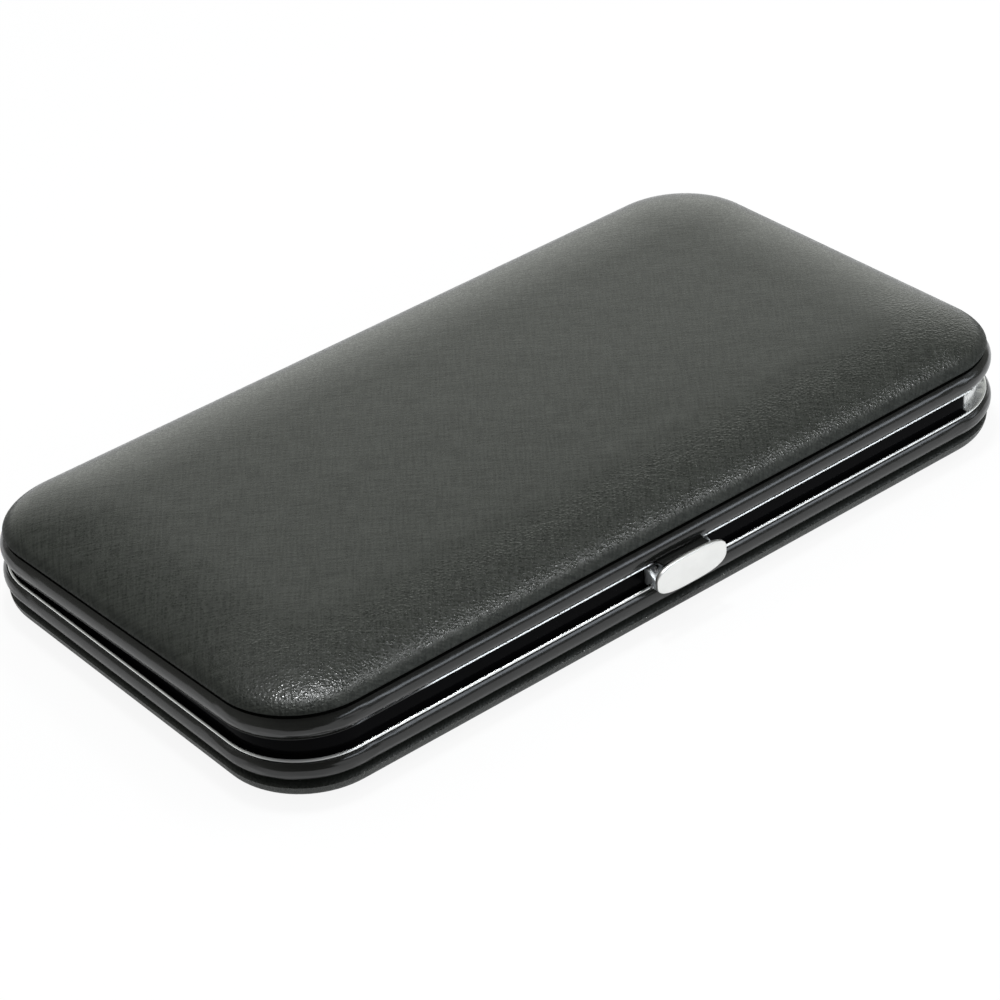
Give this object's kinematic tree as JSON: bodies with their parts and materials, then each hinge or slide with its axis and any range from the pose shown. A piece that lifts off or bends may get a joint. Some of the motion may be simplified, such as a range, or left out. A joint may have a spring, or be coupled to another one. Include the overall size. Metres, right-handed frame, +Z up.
{
  "type": "tweezer case",
  "caption": "Slim hard-frame tweezer case: padded leather base and lid in black beaded frames, hinged at the back, with an oval push clasp at the front.",
  "frame": {"origin": "middle of the flat bottom face that the case rests on", "axes": "+X along the length, -Y towards the clasp, +Y towards the hinges, +Z up"},
  "size_m": [0.175, 0.1003, 0.0232],
  "materials": {
    "black_leather": "fine cross-grained, satin",
    "foam": "open-cell foam",
    "moulded_board": "moulded, matt",
    "magnet_sheet": "flexible magnet sheet",
    "velvet": "short pile",
    "black_bead": "black, semi-gloss",
    "black_nickel": "polished black, bright at its edge",
    "hinge_steel": "satin",
    "bright_steel": "polished",
    "clasp_plate": "bright",
    "silver_button": "fine satin silver",
    "blackened_steel": "blackened"
  },
  "bodies": {
    "base": {"base_board": "moulded_board", "base_foam_pad": "foam", "base_frame": "black_bead", "base_inner_rim": "black_nickel", "base_leather_cover": "black_leather", "base_lining": "velvet", "base_magnet_sheet": "magnet_sheet", "clasp_bracket": "clasp_plate", "clasp_bracket_rivet_left": "bright_steel", "clasp_bracket_rivet_right": "bright_steel", "clasp_pin": "bright_steel", "clasp_spacer": "bright_steel", "clasp_spring": "bright_steel", "hinge_left_base_leaf": "hinge_steel", "hinge_left_base_rivet_inner": "bright_steel", "hinge_left_base_rivet_outer": "bright_steel", "hinge_left_pin": "bright_steel", "hinge_right_base_leaf": "hinge_steel", "hinge_right_base_rivet_inner": "bright_steel", "hinge_right_base_rivet_outer": "bright_steel", "hinge_right_pin": "bright_steel"},
    "lid": {"hinge_left_lid_leaf": "hinge_steel", "hinge_left_lid_rivet_inner": "bright_steel", "hinge_left_lid_rivet_outer": "bright_steel", "hinge_right_lid_leaf": "hinge_steel", "hinge_right_lid_rivet_inner": "bright_steel", "hinge_right_lid_rivet_outer": "bright_steel", "lid_board": "moulded_board", "lid_catch": "blackened_steel", "lid_catch_rivet_left": "bright_steel", "lid_catch_rivet_right": "bright_steel", "lid_foam_pad": "foam", "lid_frame": "black_bead", "lid_leather_cover": "black_leather", "lid_lining": "velvet", "lid_magnet_sheet": "magnet_sheet"},
    "clasp": {"clasp_arm": "clasp_plate", "clasp_button": "silver_button"}
  },
  "joints": [
    {"name": "lid_hinge", "type": "hinge", "parent": "base", "child": "lid", "pos_m": [0, 0.0489, 0.01027], "axis": [-1, 0, 0], "range_deg": [0, 175]},
    {"name": "clasp_rock", "type": "hinge", "parent": "base", "child": "clasp", "pos_m": [0, -0.04755, 0.0108], "axis": [-1, 0, 0], "range_deg": [0, 7], "stiffness_Nm_per_rad": 0.02, "springref_deg": -17.19}
  ]
}
